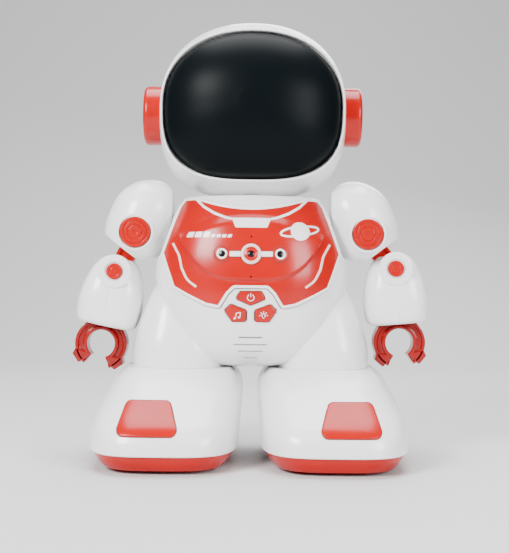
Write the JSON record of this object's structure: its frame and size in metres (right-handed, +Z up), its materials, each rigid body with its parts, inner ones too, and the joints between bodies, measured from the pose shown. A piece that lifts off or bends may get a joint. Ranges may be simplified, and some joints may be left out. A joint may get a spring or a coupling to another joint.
{
  "type": "toy robot",
  "caption": "Toy astronaut robot with a turning helmet head, jointed arms with C-shaped gripping hands, push buttons and wheeled feet.",
  "frame": {"origin": "on the floor, midway between the feet, under the middle of the body", "axes": "+Z up, the robot faces -Y, its own left side is +X"},
  "size_m": [0.2428, 0.148, 0.2971],
  "materials": {
    "white_plastic": "glossy moulded",
    "red_plastic": "glossy moulded",
    "visor_black": "mirror-smooth black",
    "dark_window": "smooth",
    "steel": "plated",
    "circuit_board": "solder mask",
    "cell_wrap": "printed wrap",
    "grey_plastic": "moulded",
    "dark_plastic": "moulded",
    "speaker_cone": "paper cone in a frame",
    "switch_rubber": "moulded",
    "tyre_rubber": "moulded"
  },
  "bodies": {
    "torso": {"battery_cells": "cell_wrap", "battery_tray": "grey_plastic", "body_screws": "steel", "button_pad": "switch_rubber", "centre_lens": "red_plastic", "chest_panel": "red_plastic", "chest_trim": "white_plastic", "left_drive_motor": "dark_plastic", "left_foot_insert": "red_plastic", "left_foot_shell": "white_plastic", "left_hip_cap": "red_plastic", "left_sole": "red_plastic", "left_thigh_shell": "white_plastic", "main_board": "circuit_board", "neck_collar": "white_plastic", "right_drive_motor": "dark_plastic", "right_foot_insert": "red_plastic", "right_foot_shell": "white_plastic", "right_hip_cap": "red_plastic", "right_sole": "red_plastic", "right_thigh_shell": "white_plastic", "sensor_windows": "dark_window", "speaker": "speaker_cone", "torso_front_shell": "white_plastic", "torso_rear_shell": "white_plastic"},
    "head": {"helmet_front_shell": "white_plastic", "helmet_rear_shell": "white_plastic", "visor": "visor_black", "left_ear_cap": "red_plastic", "right_ear_cap": "red_plastic", "face_display_board": "circuit_board", "neck_post": "grey_plastic", "helmet_screws": "steel"},
    "cover": {"battery_cover": "white_plastic", "battery_cover_screw": "steel"},
    "power_key": {"power_button": "red_plastic"},
    "music_key": {"music_button": "red_plastic"},
    "light_key": {"light_button": "red_plastic"},
    "right_shoulder": {"right_shoulder_shell": "white_plastic", "right_shoulder_axle": "steel", "right_shoulder_disc": "red_plastic"},
    "right_upper_arm": {"right_arm_link": "red_plastic"},
    "right_forearm": {"right_forearm_front_shell": "white_plastic", "right_forearm_rear_shell": "white_plastic", "right_elbow_cap": "red_plastic"},
    "right_gripper": {"right_hand": "red_plastic"},
    "right_drive": {"right_drive_wheel": "grey_plastic", "right_drive_tyre": "tyre_rubber"},
    "right_front_wheel": {"right_front_roller": "grey_plastic"},
    "left_shoulder": {"left_shoulder_shell": "white_plastic", "left_shoulder_axle": "steel", "left_shoulder_disc": "red_plastic"},
    "left_upper_arm": {"left_arm_link": "red_plastic"},
    "left_forearm": {"left_forearm_front_shell": "white_plastic", "left_forearm_rear_shell": "white_plastic", "left_elbow_cap": "red_plastic"},
    "left_gripper": {"left_hand": "red_plastic"},
    "left_drive": {"left_drive_wheel": "grey_plastic", "left_drive_tyre": "tyre_rubber"},
    "left_front_wheel": {"left_front_roller": "grey_plastic"}
  },
  "joints": [
    {"name": "head_turn", "type": "hinge", "parent": "torso", "child": "head", "pos_m": [0, -0.006, 0.172], "axis": [0, 0, 1], "range_deg": [-45, 45]},
    {"name": "battery_cover_lift", "type": "slide", "parent": "torso", "child": "cover", "axis": [0, 1, 0], "range_m": [0, 0.03]},
    {"name": "power_press", "type": "slide", "parent": "torso", "child": "power_key", "axis": [0, 1, 0], "range_m": [0, 0.0012], "stiffness_N_per_m": 500},
    {"name": "music_press", "type": "slide", "parent": "torso", "child": "music_key", "axis": [0, 1, 0], "range_m": [0, 0.0012], "stiffness_N_per_m": 500},
    {"name": "light_press", "type": "slide", "parent": "torso", "child": "light_key", "axis": [0, 1, 0], "range_m": [0, 0.0012], "stiffness_N_per_m": 500},
    {"name": "right_shoulder_swing", "type": "hinge", "parent": "torso", "child": "right_shoulder", "pos_m": [-0.054, -0.008, 0.161], "axis": [1, 0, 0], "range_deg": [-120, 40]},
    {"name": "right_arm_raise", "type": "hinge", "parent": "right_shoulder", "child": "right_upper_arm", "pos_m": [-0.0778, -0.008, 0.152], "axis": [0, 1, 0], "range_deg": [0, 26]},
    {"name": "right_elbow_bend", "type": "hinge", "parent": "right_upper_arm", "child": "right_forearm", "pos_m": [-0.09188, -0.008, 0.12551], "axis": [0, 1, 0], "range_deg": [0, 20]},
    {"name": "right_hand_twist", "type": "hinge", "parent": "right_forearm", "child": "right_gripper", "pos_m": [-0.09188, -0.008, 0.12551], "axis": [-0.2028, 0, -0.9792], "range_deg": [-90, 90]},
    {"name": "right_wheel_spin", "type": "hinge", "parent": "torso", "child": "right_drive", "pos_m": [-0.063, 0.025, 0.015], "axis": [1, 0, 0], "continuous": true},
    {"name": "right_roller_spin", "type": "hinge", "parent": "torso", "child": "right_front_wheel", "pos_m": [-0.05, -0.065, 0.006], "axis": [1, 0, 0], "continuous": true},
    {"name": "left_shoulder_swing", "type": "hinge", "parent": "torso", "child": "left_shoulder", "pos_m": [0.054, -0.008, 0.161], "axis": [1, 0, 0], "range_deg": [-120, 40]},
    {"name": "left_arm_raise", "type": "hinge", "parent": "left_shoulder", "child": "left_upper_arm", "pos_m": [0.0778, -0.008, 0.152], "axis": [0, -1, 0], "range_deg": [0, 14]},
    {"name": "left_elbow_bend", "type": "hinge", "parent": "left_upper_arm", "child": "left_forearm", "pos_m": [0.09728, -0.008, 0.12919], "axis": [0, -1, 0], "range_deg": [0, 38]},
    {"name": "left_hand_twist", "type": "hinge", "parent": "left_forearm", "child": "left_gripper", "pos_m": [0.09728, -0.008, 0.12919], "axis": [0.0872, 0, -0.9962], "range_deg": [-90, 90]},
    {"name": "left_wheel_spin", "type": "hinge", "parent": "torso", "child": "left_drive", "pos_m": [0.063, 0.025, 0.015], "axis": [1, 0, 0], "continuous": true},
    {"name": "left_roller_spin", "type": "hinge", "parent": "torso", "child": "left_front_wheel", "pos_m": [0.05, -0.065, 0.006], "axis": [1, 0, 0], "continuous": true}
  ]
}
